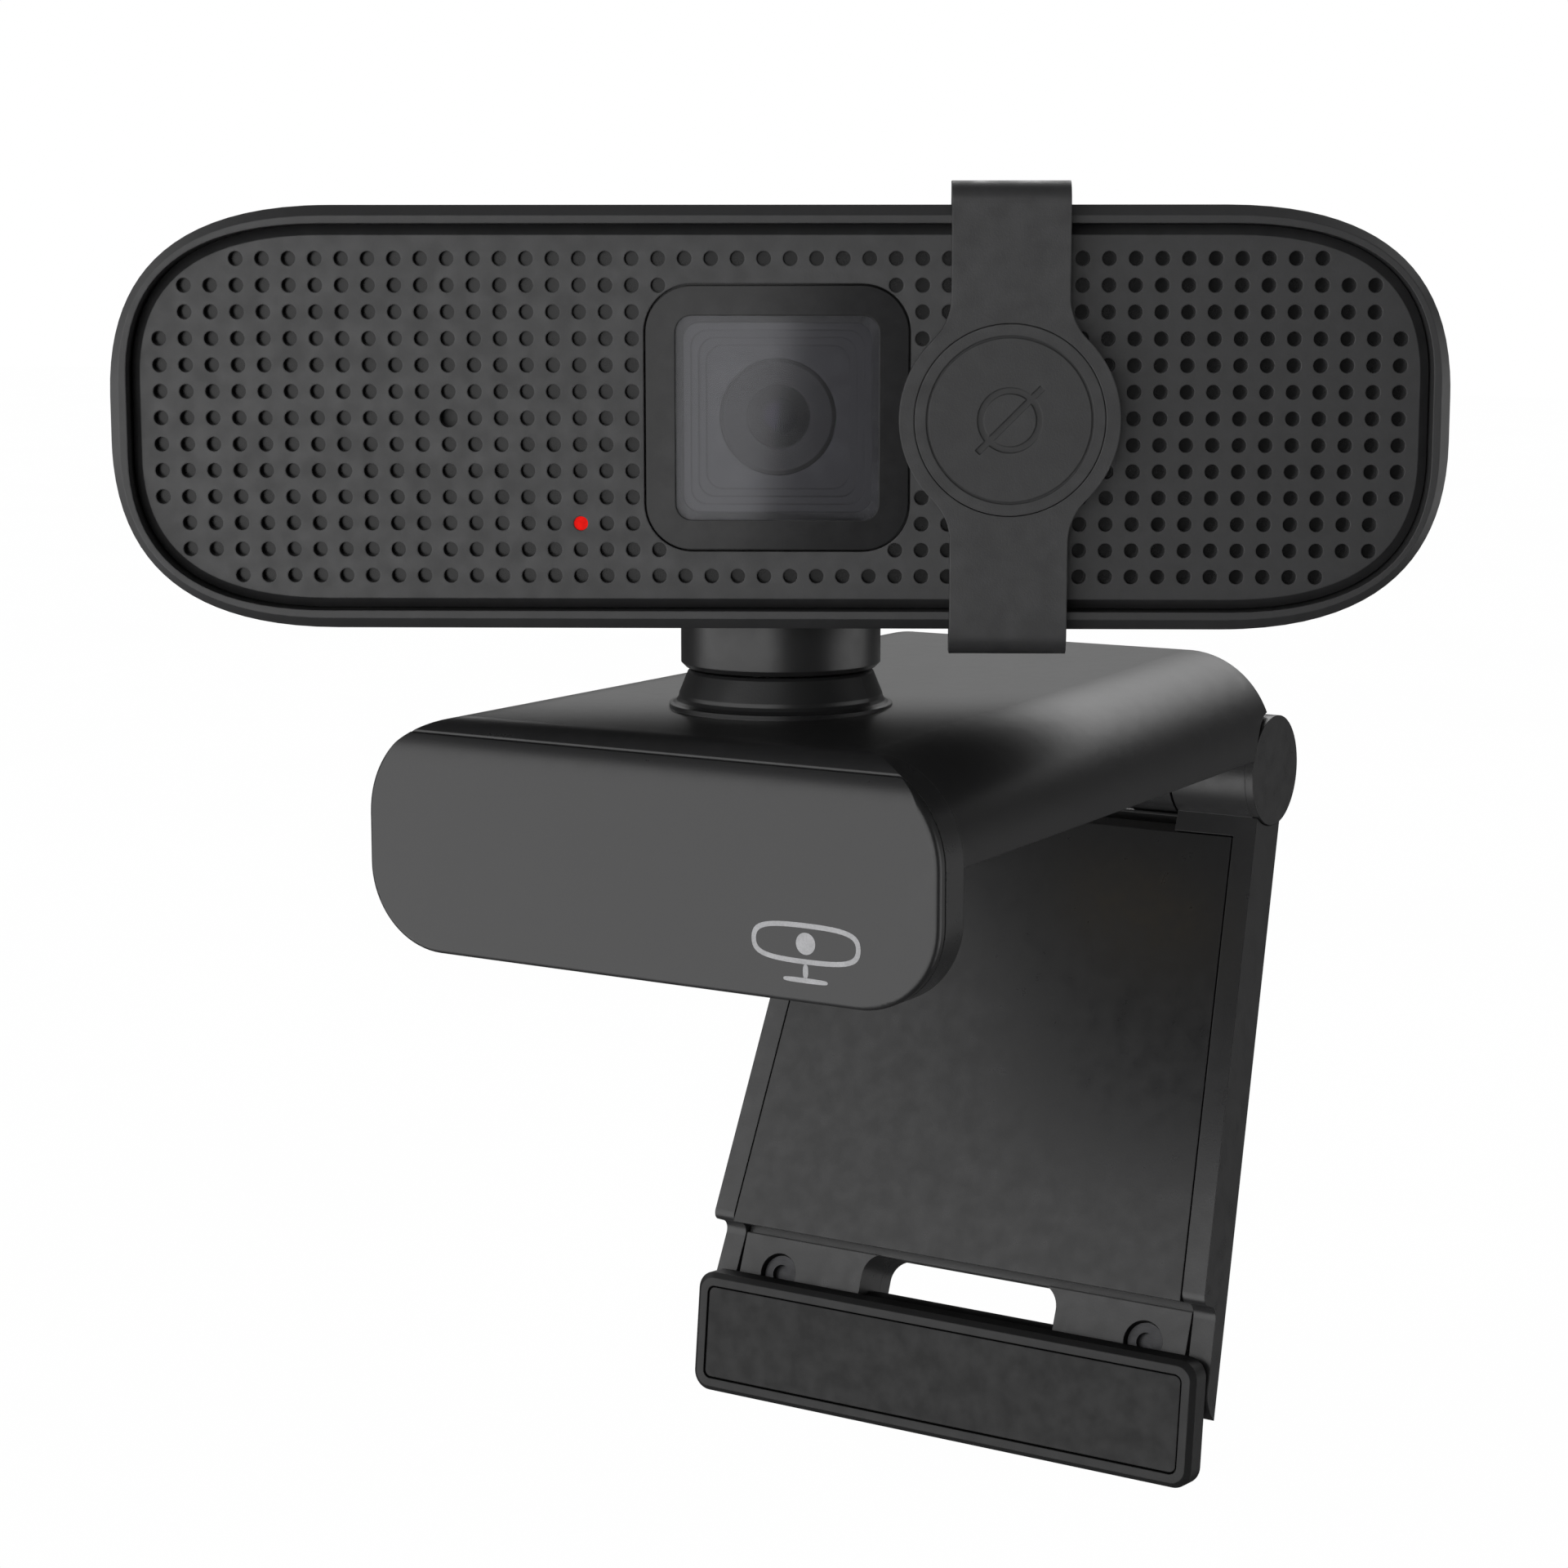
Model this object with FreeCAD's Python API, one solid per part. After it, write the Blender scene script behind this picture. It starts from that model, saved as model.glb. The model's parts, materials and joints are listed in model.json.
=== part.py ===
import FreeCAD
import Part
import math
import os

# A webcam: a wide camera bar with a sliding privacy cover, on a swivel and tilt neck, on a
# folding clip that hooks over a monitor.
#
# Frame, in millimetres: the origin is on the swivel axis, on the face of the seat pad that
# rests on the monitor. +Z is up, -Y is the front of the clip and +X is its right-hand side.
# The bar is turned about Z, the leg and its foot are swung about X.

V = FreeCAD.Vector

# ---- camera bar, seen in its own axes: X along the bar, -Y its front, Z up -----------------
BAR_W = 95.3
BAR_H = 30.0
BAR_FRONT = -11.5                  # front of the rim
BAR_BACK = 12.5
BAR_Z = 30.2                       # height of the bar's centre
BAR_TURN = 30.3                    # turned this far about Z, degrees
CORNER_X = 15.4                    # the corners are squarer than an ellipse
CORNER_Z = 12.2
CORNER_HANDLE = 0.67
EDGE_EASE = (0.6, 1.2)             # the outer edge's corners are this much rounder

RIM_CHAMFER = 0.75
RIM_W = 1.3                        # chamfer and flat of the rim together
BEZEL_BACK = -7.5
LEDGE_W = 1.3
PANEL_FRONT = -10.45
PANEL_T = 0.9
PANEL_INSET = 2.1
PANEL_CHAMFER = 0.65
MESH_T = 0.4
LEDGE_Y = PANEL_FRONT + PANEL_T + MESH_T
WALL = 1.8
SHELL_INSET = 0.25
SHELL_ROUND = 5.0

PITCH = 1.877                      # grid of the perforated panel
HOLE_R = 0.515
MIC_COLUMN = 12.5
MIC_HOLE_R = 0.65
LED_COLUMN = -7.5
LED_ROW = -4
LED_HOLE_R = 0.56

BEZEL_HALF = 9.35                  # square lens surround
BEZEL_R = 3.3
WINDOW_HALF = 7.25
WINDOW_R = 1.2
WINDOW_Y = -10.35
WINDOW_T = 0.8
BAFFLE_STEPS = 4
BAFFLE_STEP = 0.54
BAFFLE_RISE = 0.3
BARREL_R = 4.15
BARREL_FRONT = -7.9
BOARD_Y = 2.4
BOARD_T = 1.6

# ---- privacy cover --------------------------------------------------------------------------
COVER_X = 16.45                    # where it stands along the bar
COVER_W = 8.3
COVER_T = 1.4
COVER_GAP = 0.35
COVER_DISC_R = 7.8
COVER_OVER = 1.65                  # the hooks stand this far above and below the bar
COVER_BACK = -9.6                  # how far back the hooks reach
BADGE_R = 6.72
RUN_HALF = 32.2                    # half length of the groove that the hooks run in

# ---- neck -------------------------------------------------------------------------------------
COLLAR_R = 7.5
COLLAR_LOW = 11.25
COLLAR_TOP = 16.4
PIVOT_Z = 19.45                    # tilt axis
KNUCKLE_R = 3.4
KNUCKLE_HALF = 3.0
TILT_PIN_R = 1.2
STUD_R = 3.0
RUNNING = 0.05                     # radial clearance of a running fit

# ---- clip ---------------------------------------------------------------------------------------
CLIP_W = 48.7
CLIP_FRONT = -19.2
CLIP_TOP = 8.0                     # at the front; the top rises a little towards the back
CLIP_LOW = 0.5                     # underside of the body; the seat pad stands 0.5 below it
CLIP_R = 7.4                       # rounding of the long top edges
CLIP_BACK = 44.4
CLIP_BACK_W = 42.4
CLIP_BACK_TOP = 8.9
CLIP_BACK_R = 7.8
FRONT_R = 3.4                      # rounding of the top front edge, over the plate and the lip
PLATE_H = 17.5
PLATE_T = 0.85
PLATE_LOW_R = 6.4                  # its lower corners; the upper ones follow the body
LIP_FRONT = -18.2
LIP_BACK = -15.7
ROOF = 1.8
BASE_T = 1.6
CAVITY_HALF = 19.5
CAVITY_FRONT = -12.2
CAVITY_BACK = 37.5
INSERT_Y = 16.0
INSERT_R = 4.6
THREAD_R = 3.175                   # nominal radius of a quarter-inch tripod screw

# ---- hinge and leg, in the leg's own axes: hinge axis at the origin, leg hanging down ---------
HINGE_Y = 44.7
HINGE_Z = -0.9
HINGE_R = 4.65
LEAN = 21.6                        # the leg swings this far forward, degrees
PIN_R = 1.5
CLIP_KNUCKLE = (9.3, 13.5)         # inner and outer end of each clip knuckle
LEG_KNUCKLE = (13.7, 20.5)
CAP_T = 0.7
LEG_TOP_HALF = 20.65
LEG_FLARE = 0.067                  # the leg widens by this much per millimetre
LEG_FRONT = -1.33
LEG_BACK = 3.43
RAIL_W = 2.0
LEG_WALL = 1.5
SEAM = 0.12
PANEL_TOP = -6.2
PANEL_LOW = -45.0
STEP_Y = 1.5                       # face of the stepped-back lower end
BLOCK_TOP = -45.6
BLOCK_HALF = 21.6
BLOCK_SPLIT = 5.25                 # where the bracket meets the leg frame's rear bulge
SLOT_HALF = 9.4
SLOT_R = 2.0
FOOT_PIVOT_Y = 4.2
FOOT_PIVOT_Z = -51.3
FOOT_KNUCKLE_R = 2.7
FOOT_PIN_R = 0.8
LEG_SCREW_X = 17.7
LEG_SCREW_Z = -48.7

# ---- foot, in its own axes: pivot at the origin -------------------------------------------------
FOOT_LEAN = 6.2
FOOT_HALF = 24.0
FOOT_TOP = 3.04
FOOT_LOW = -7.5
FOOT_FRONT = -5.2
FOOT_BACK = -3.0
FOOT_R = 1.6
FOOT_RIM = 1.15

LEDGE_INSET = RIM_W + LEDGE_W
INNER_LOW = BAR_Z - BAR_H / 2 + SHELL_INSET + WALL
COVER_FRONT = BAR_FRONT - COVER_GAP - COVER_T
PAST = 1.0                         # how far a cutting shape runs past what it cuts
SCREW_SPOTS = [(x, z) for x in (-39.5, 39.5) for z in (-7.5, 7.5)]
BOARD_SPOTS = [(x, z) for x in (-32.0, 32.0) for z in (-1.5, 8.5)]
BRACKET_SPOT = (11.0, -1.5)
BASE_SPOTS = [(x, y) for x in (-16.5, 16.5) for y in (-8.5, 33.0)]
LIP_SPOTS = [(-9.0, 4.1), (9.0, 4.1)]


def box(x, y, z):
    """A box from three (low, high) pairs."""
    return Part.makeBox(x[1] - x[0], y[1] - y[0], z[1] - z[0], V(x[0], y[0], z[0]))


def rod_x(r, x, y=0.0, z=0.0):
    return Part.makeCylinder(r, x[1] - x[0], V(x[0], y, z), V(1, 0, 0))


def rod_y(r, y, x=0.0, z=0.0):
    return Part.makeCylinder(r, y[1] - y[0], V(x, y[0], z), V(0, 1, 0))


def rod_z(r, z, x=0.0, y=0.0):
    return Part.makeCylinder(r, z[1] - z[0], V(x, y, z[0]), V(0, 0, 1))


def spin(profile, centre=V(0, 0, 0), axis=V(0, 0, 1)):
    """A solid turned from (radius, height) corners about an axis."""
    wire = Part.makePolygon([V(r, 0, h) for r, h in profile + profile[:1]])
    solid = Part.Face(wire).revolve(V(0, 0, 0), V(0, 0, 1), 360)
    solid.Placement = FreeCAD.Placement(centre, FreeCAD.Rotation(V(0, 0, 1), axis))
    return solid


def rounded(half, low, high, r, y, low_r=None):
    """A wire at depth y: a rectangle with round corners in the XZ plane; low_r is for its lower ones."""
    q = r if low_r is None else low_r
    k, kq = r * (1 - math.sqrt(0.5)), q * (1 - math.sqrt(0.5))
    return Part.Wire([
        Part.makeLine(V(r - half, y, high), V(half - r, y, high)),
        arc(V(half - r, y, high), V(half - k, y, high - k), V(half, y, high - r)),
        Part.makeLine(V(half, y, high - r), V(half, y, low + q)),
        arc(V(half, y, low + q), V(half - kq, y, low + kq), V(half - q, y, low)),
        Part.makeLine(V(half - q, y, low), V(q - half, y, low)),
        arc(V(q - half, y, low), V(kq - half, y, low + kq), V(-half, y, low + q)),
        Part.makeLine(V(-half, y, low + q), V(-half, y, high - r)),
        arc(V(-half, y, high - r), V(k - half, y, high - k), V(r - half, y, high)),
    ])


def arc(a, b, c):
    return Part.Arc(a, b, c).toShape()


def square(half, r, y):
    """A rounded square about the lens axis at depth y."""
    return rounded(half, BAR_Z - half, BAR_Z + half, r, y)


def bar_wire(inset, y):
    """The bar's outline at depth y, moved in by inset; its outer edge has the roundest corners."""
    half_w, half_h = BAR_W / 2 - inset, BAR_H / 2 - inset
    outer = max(0.0, 1 - inset / RIM_W)
    a, b = CORNER_X - inset + EDGE_EASE[0] * outer, CORNER_Z - inset + EDGE_EASE[1] * outer
    ease_a, ease_b = a * (1 - CORNER_HANDLE), b * (1 - CORNER_HANDLE)
    edges = []
    for sx, sz in ((1, 1), (1, -1), (-1, -1), (-1, 1)):
        flat = V(sx * (half_w - a), y, BAR_Z + sz * half_h)
        side = V(sx * half_w, y, BAR_Z + sz * (half_h - b))
        near_flat = V(sx * (half_w - ease_a), y, BAR_Z + sz * half_h)
        near_side = V(sx * half_w, y, BAR_Z + sz * (half_h - ease_b))
        poles = [flat, near_flat, near_side, side]
        if sx != sz:
            poles.reverse()
        curve = Part.BezierCurve()
        curve.setPoles(poles)
        edges.append(curve.toShape())
    edges.append(Part.makeLine(V(a - half_w, y, BAR_Z + half_h), V(half_w - a, y, BAR_Z + half_h)))
    edges.append(Part.makeLine(V(a - half_w, y, BAR_Z - half_h), V(half_w - a, y, BAR_Z - half_h)))
    edges.append(Part.makeLine(V(half_w, y, BAR_Z + half_h - b), V(half_w, y, BAR_Z - half_h + b)))
    edges.append(Part.makeLine(V(-half_w, y, BAR_Z + half_h - b), V(-half_w, y, BAR_Z - half_h + b)))
    return Part.Wire(Part.__sortEdges__(edges))


def prism(wire, depth):
    """The area inside a wire, pulled back along +Y."""
    return Part.Face(wire).extrude(V(0, depth, 0))


def loft(wires):
    return Part.makeLoft(wires, True, True)


def fillet_at(solid, r, chosen):
    """Round the edges for which chosen(edge) is true."""
    return solid.makeFillet(r, [e for e in solid.Edges if chosen(e)])


def all_at_y(y):
    return lambda e: e.BoundBox.YMin > y - 0.01 and e.BoundBox.YMax < y + 0.01


def in_bar(shape):
    """From the bar's axes to the part's."""
    return shape.copy().rotate(V(0, 0, 0), V(0, 0, 1), BAR_TURN)


def in_leg(shape):
    turned = shape.copy().rotate(V(0, 0, 0), V(1, 0, 0), -LEAN)
    return turned.translate(V(0, HINGE_Y, HINGE_Z))


def in_foot(shape):
    turned = shape.copy().rotate(V(0, 0, 0), V(1, 0, 0), LEAN - FOOT_LEAN)
    return in_leg(turned.translate(V(0, FOOT_PIVOT_Y, FOOT_PIVOT_Z)))


def group(solids):
    return Part.makeCompound(solids)


def save(name, shape):
    clean = shape if shape.ShapeType == "Compound" and len(shape.Solids) > 1 else shape.Solids[0]
    if not clean.isValid():
        print("not valid:", name)
    if clean is not shape and len(shape.Solids) != 1:
        print("not one solid:", name, len(shape.Solids))
    clean.exportStep(f"parts/{name}.step")


# ---- the camera bar ---------------------------------------------------------------------------

def neck_opening(front, back):
    """What is cut out of the bar's underside so that it can tilt on the collar."""
    return box((-8.0, 8.0), (front, back), (BAR_Z - BAR_H / 2 - PAST, INNER_LOW + 1.2))


def front_bezel():
    outline = [bar_wire(RIM_CHAMFER, BAR_FRONT), bar_wire(0, BAR_FRONT + RIM_CHAMFER)]
    solid = loft(outline + [bar_wire(0, BEZEL_BACK)])
    solid = solid.cut(prism(bar_wire(RIM_W, BAR_FRONT - PAST), LEDGE_Y - BAR_FRONT + PAST))
    solid = solid.cut(prism(bar_wire(LEDGE_INSET, BAR_FRONT), BEZEL_BACK - BAR_FRONT + PAST))
    groove_depth = 0.6
    groove = (COVER_BACK - 0.95, COVER_BACK + 0.15)
    for z in (BAR_Z - BAR_H / 2 - PAST, BAR_Z + BAR_H / 2 - groove_depth):
        solid = solid.cut(box((-RUN_HALF, RUN_HALF), groove, (z, z + PAST + groove_depth)))
    solid = solid.cut(neck_opening(-9.1, BEZEL_BACK + PAST))
    boss_back = BEZEL_BACK + 2.0
    for x, z in SCREW_SPOTS:
        rib = sorted((BAR_Z + z, BAR_Z + z * 1.65))
        solid = solid.fuse(rod_y(2.3, (LEDGE_Y, boss_back), x, BAR_Z + z))
        solid = solid.fuse(box((x - 0.6, x + 0.6), (LEDGE_Y, BEZEL_BACK), rib))
        solid = solid.cut(rod_y(0.9, (BEZEL_BACK - 0.9, boss_back + PAST), x, BAR_Z + z))
    return solid.removeSplitter()


def hole_spots():
    """Where the panel's small holes stand: rows of a square grid, cleared round the lens."""
    rows = {0: (23.5, 5.5), 4: (22.5, 5.5), 5: (22.5, 4.5), 6: (20.5, 0.5)}
    spots = []
    for row in range(-6, 7):
        last, first = rows.get(abs(row), rows[0])
        count = int(last - first) + 1
        for step in range(count):
            spots += [(first + step, row), (-first - step, row)]
    return spots


def hole_radius(column, row):
    return MIC_HOLE_R if abs(column) == MIC_COLUMN and row == 0 else HOLE_R


def grille_panel():
    wires = [bar_wire(PANEL_INSET, PANEL_FRONT), bar_wire(RIM_W + 0.1, PANEL_FRONT + PANEL_CHAMFER)]
    solid = loft(wires + [bar_wire(RIM_W + 0.1, PANEL_FRONT + PANEL_T)])
    depth = (PANEL_FRONT - PAST, PANEL_FRONT + PANEL_T + PAST)
    pegs = [rod_y(hole_radius(c, r), depth, c * PITCH, BAR_Z + r * PITCH) for c, r in hole_spots()]
    window = prism(square(BEZEL_HALF + 0.15, BEZEL_R + 0.15, depth[0]), depth[1] - depth[0])
    return solid.cut(group(pegs + [window]))


def grille_backing():
    front = PANEL_FRONT + PANEL_T
    solid = prism(bar_wire(RIM_W + 0.15, front), MESH_T)
    through = (front - PAST, front + MESH_T + PAST)
    solid = solid.cut(prism(square(BEZEL_HALF + 0.15, BEZEL_R + 0.15, through[0]), 3 * PAST))
    for side in (-1, 1):
        solid = solid.cut(rod_y(MIC_HOLE_R, through, side * MIC_COLUMN * PITCH, BAR_Z))
    return solid.cut(rod_y(LED_HOLE_R, through, LED_COLUMN * PITCH, BAR_Z + LED_ROW * PITCH))


def lens_bezel():
    front, flange = PANEL_FRONT - 0.15, 0.6
    depth = LEDGE_Y + flange - front
    solid = prism(square(BEZEL_HALF, BEZEL_R, front), depth)
    solid = solid.fuse(prism(square(BEZEL_HALF + 0.9, BEZEL_R, LEDGE_Y), flange))
    solid = solid.cut(prism(square(WINDOW_HALF, WINDOW_R, front), depth))
    return solid.cut(prism(square(WINDOW_HALF + 0.5, WINDOW_R, WINDOW_Y), depth))


def lens_window():
    return prism(square(WINDOW_HALF + 0.45, WINDOW_R, WINDOW_Y), WINDOW_T)


def lens_baffle():
    """The stepped funnel behind the window."""
    front = WINDOW_Y + WINDOW_T
    solid = prism(square(WINDOW_HALF + 0.4, WINDOW_R, front), 2.8)
    for step in range(BAFFLE_STEPS):
        half = WINDOW_HALF - 0.5 - step * BAFFLE_STEP
        solid = solid.cut(prism(square(half, WINDOW_R, front), (step + 1) * BAFFLE_RISE))
    return solid.cut(rod_y(BARREL_R + RUNNING, (front, front + 3.8), 0, BAR_Z))


def lens_axis_spin(profile):
    """Turned about the lens axis from (radius, depth) corners; depths are along the bar's Y."""
    return spin(profile, V(0, 0, BAR_Z), V(0, 1, 0))


def lens_barrel():
    back, inner = 1.2, 2.75
    seat = BARREL_FRONT + 2.4
    front = [(2.3, BARREL_FRONT + 0.35), (BARREL_R - 0.25, BARREL_FRONT), (BARREL_R, BARREL_FRONT + 0.25)]
    return lens_axis_spin(front + [(BARREL_R, back), (inner, back), (inner, seat), (2.3, seat)])


def lens_retainer():
    front = BARREL_FRONT + 0.6
    return lens_axis_spin([(1.35, front + 0.45), (2.3, front), (2.3, front + 0.75), (1.35, front + 0.75)])


def front_element():
    """A glass dome behind the retainer."""
    flat, radius, sphere_r = BARREL_FRONT + 2.4, 2.25, 3.6
    centre = flat - 0.2 + math.sqrt(sphere_r ** 2 - radius ** 2)
    dome = Part.makeSphere(sphere_r, V(0, centre, BAR_Z))
    return dome.common(rod_y(radius, (flat - 2.0, flat), 0, BAR_Z))


def lens_holder():
    half = 5.2
    solid = box((-half, half), (-3.6, BOARD_Y), (BAR_Z - half, BAR_Z + half))
    solid = solid.cut(rod_y(BARREL_R + RUNNING, (-4.6, 1.3), 0, BAR_Z))
    return solid.cut(box((-4.3, 4.3), (1.3, BOARD_Y + PAST), (BAR_Z - 4.0, BAR_Z + 4.0)))


def image_sensor():
    return box((-3.6, 3.6), (BOARD_Y - 0.9, BOARD_Y), (BAR_Z - 3.0, BAR_Z + 3.0))


def main_board():
    solid = box((-36, 36), (BOARD_Y, BOARD_Y + BOARD_T), (BAR_Z - 9.8, BAR_Z + 11.2))
    notch = box((-7, 7), (BOARD_Y - PAST, BOARD_Y + BOARD_T + PAST), (BAR_Z - 11, BAR_Z - 5.3))
    solid = solid.cut(notch)
    for x, z in BOARD_SPOTS:
        solid = solid.cut(rod_y(1.1, (BOARD_Y - PAST, BOARD_Y + BOARD_T + PAST), x, BAR_Z + z))
    return solid


def board_chips():
    """The larger packages on the back of the board."""
    back = BOARD_Y + BOARD_T
    sizes = [(-18, 5.0, 1.0), (8, 4.0, 1.4), (22, 3.0, 0.9)]
    return group([box((x - s, x + s), (back, back + t), (BAR_Z + 2 - s, BAR_Z + 2 + s)) for x, s, t in sizes])


def microphones():
    spots = (-MIC_COLUMN * PITCH, MIC_COLUMN * PITCH)
    return group([rod_y(2.0, (LEDGE_Y + 0.25, LEDGE_Y + 1.75), x, BAR_Z) for x in spots])


def microphone_boots():
    boots = []
    for x in (-MIC_COLUMN * PITCH, MIC_COLUMN * PITCH):
        boot = rod_y(2.9, (LEDGE_Y, LEDGE_Y + 2.0), x, BAR_Z)
        boot = boot.cut(rod_y(2.0, (LEDGE_Y + 0.25, LEDGE_Y + 3.0), x, BAR_Z))
        boots.append(boot.cut(rod_y(MIC_HOLE_R, (LEDGE_Y - PAST, LEDGE_Y + PAST), x, BAR_Z)))
    return group(boots)


def light_pipe():
    x, z = LED_COLUMN * PITCH, BAR_Z + LED_ROW * PITCH
    pipe = rod_y(HOLE_R - 0.02, (PANEL_FRONT + 0.12, BOARD_Y - 0.9), x, z)
    return pipe.fuse(rod_y(1.1, (LEDGE_Y, LEDGE_Y + 0.8), x, z))


def status_led():
    x, z = LED_COLUMN * PITCH, BAR_Z + LED_ROW * PITCH
    return box((x - 0.8, x + 0.8), (BOARD_Y - 0.8, BOARD_Y), (z - 0.5, z + 0.5))


def rear_shell():
    outer = prism(bar_wire(SHELL_INSET, BEZEL_BACK), BAR_BACK - BEZEL_BACK)
    outer = fillet_at(outer, SHELL_ROUND, all_at_y(BAR_BACK))
    inner_back = BAR_BACK - WALL
    cavity = prism(bar_wire(SHELL_INSET + WALL, BEZEL_BACK), inner_back - BEZEL_BACK)
    cavity = fillet_at(cavity, SHELL_ROUND - WALL, all_at_y(inner_back))
    solid = outer.cut(cavity)
    into_wall = inner_back + 0.5
    for x, z in SCREW_SPOTS:
        solid = solid.fuse(rod_y(2.5, (BEZEL_BACK + 2.1, into_wall), x, BAR_Z + z))
    for x, z in BOARD_SPOTS:
        solid = solid.fuse(rod_y(2.2, (BOARD_Y + BOARD_T, into_wall), x, BAR_Z + z))
        solid = solid.cut(rod_y(0.9, (BOARD_Y, BOARD_Y + 5.0), x, BAR_Z + z))
    x_post, y_post = BRACKET_SPOT
    for x in (-x_post, x_post):
        solid = solid.fuse(rod_z(2.4, (INNER_LOW - 0.5, bracket_low()), x, y_post))
        solid = solid.cut(rod_z(0.9, (bracket_low() - 4.0, bracket_low() + PAST), x, y_post))
    for x, z in SCREW_SPOTS:
        solid = solid.cut(rod_y(1.15, (BEZEL_BACK, BAR_BACK + PAST), x, BAR_Z + z))
        solid = solid.cut(rod_y(2.0, (BAR_BACK - 1.3, BAR_BACK + PAST), x, BAR_Z + z))
    solid = solid.cut(neck_opening(BEZEL_BACK - PAST, 9.3))
    return solid.cut(rod_y(3.0, (inner_back - PAST, BAR_BACK + PAST), 0, BAR_Z + 3.0))


def shell_screws():
    screws = []
    for x, z in SCREW_SPOTS:
        shank = rod_y(0.9, (BEZEL_BACK - 0.8, BAR_BACK - 1.3), x, BAR_Z + z)
        head = rod_y(1.85, (BAR_BACK - 1.3, BAR_BACK - 0.3), x, BAR_Z + z)
        screws.append(shank.fuse(cross_cut(head, x, BAR_BACK - 0.3, BAR_Z + z)))
    return group(screws)


def cross_cut(head, x, top, z):
    """A screw head, facing +Y, with a cross recess."""
    for long_x, long_z in ((1.0, 0.2), (0.2, 1.0)):
        head = head.cut(box((x - long_x, x + long_x), (top - 0.6, top + PAST), (z - long_z, z + long_z)))
    return head


def cable_gland():
    """The bush that the cable comes out of, at the middle of the bar's back."""
    z = BAR_Z + 3.0
    solid = rod_y(3.0, (BAR_BACK - 2.6, BAR_BACK), 0, z).fuse(rod_y(4.0, (BAR_BACK, BAR_BACK + 0.9), 0, z))
    solid = solid.fuse(rod_y(3.1, (BAR_BACK + 0.9, BAR_BACK + 2.4), 0, z))
    return solid.cut(rod_y(1.8, (BAR_BACK - 3.6, BAR_BACK + 3.4), 0, z))


def bracket_low():
    """Underside of the tilt bracket's bridge, which clears the collar's knuckle."""
    return PIVOT_Z + KNUCKLE_R + 0.35


def tilt_bracket():
    low = bracket_low()
    x_post, y_post = BRACKET_SPOT
    solid = box((-x_post - 2.4, x_post + 2.4), (-3.9, 1.4), (low, low + 1.3))
    ear_in, ear_out = KNUCKLE_HALF + 0.5, KNUCKLE_HALF + 2.4
    for side in (-1, 1):
        span = sorted((side * ear_in, side * ear_out))
        solid = solid.fuse(box(span, (-2.5, 1.4), (PIVOT_Z, low + PAST)))
        solid = solid.fuse(rod_x(2.6, span, 0, PIVOT_Z))
        solid = solid.cut(rod_z(1.1, (low - PAST, low + 3.0), side * x_post, y_post))
    return solid.cut(rod_x(TILT_PIN_R, (-9, 9), 0, PIVOT_Z)).removeSplitter()


def bracket_screws():
    x_post, y_post = BRACKET_SPOT
    top = bracket_low() + 1.3
    screws = []
    for x in (-x_post, x_post):
        screws.append(rod_z(0.9, (top - 4.5, top), x, y_post).fuse(rod_z(1.8, (top, top + 0.9), x, y_post)))
    return group(screws)


def board_screws():
    screws = []
    for x, z in BOARD_SPOTS:
        shank = rod_y(0.9, (BOARD_Y, BOARD_Y + 4.5), x, BAR_Z + z)
        screws.append(shank.fuse(rod_y(1.8, (BOARD_Y - 0.9, BOARD_Y), x, BAR_Z + z)))
    return group(screws)


def tilt_pin():
    end = KNUCKLE_HALF + 2.9
    return rod_x(TILT_PIN_R, (-end, end), 0, PIVOT_Z)


def tilt_washers():
    """Friction washers between the knuckle and the bracket's ears."""
    washers = []
    for side in (-1, 1):
        span = sorted((side * (KNUCKLE_HALF + 0.1), side * (KNUCKLE_HALF + 0.5)))
        ring = rod_x(2.4, span, 0, PIVOT_Z)
        washers.append(ring.cut(rod_x(TILT_PIN_R + RUNNING, (-9, 9), 0, PIVOT_Z)))
    return group(washers)


# ---- the privacy cover ------------------------------------------------------------------------

def cover_side():
    """The C of the cover, seen along the bar, as one closed outline."""
    back, front = COVER_BACK, COVER_FRONT
    inner_y = COVER_FRONT + COVER_T
    high = BAR_H / 2 + COVER_OVER
    inner = BAR_H / 2 + 0.4
    lip = BAR_H / 2 - 0.3
    lip_front = back - 0.8
    bend = 1.6
    k = bend * (1 - math.sqrt(0.5))

    def at(y, z):
        return V(0, y, BAR_Z + z)

    edges = [Part.makeLine(at(front, bend - high), at(front, high - bend))]
    for s in (1, -1):
        corner = [at(front, s * (high - bend)), at(front + k, s * (high - k)), at(front + bend, s * high)]
        edges.append(arc(*corner))
        path = [corner[2], at(back, s * high), at(back, s * lip), at(lip_front, s * lip)]
        path += [at(lip_front, s * inner), at(inner_y, s * inner)]
        edges += [Part.makeLine(a, b) for a, b in zip(path, path[1:])]
    edges.append(Part.makeLine(at(inner_y, inner), at(inner_y, -inner)))
    return Part.Wire(Part.__sortEdges__(edges))


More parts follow.
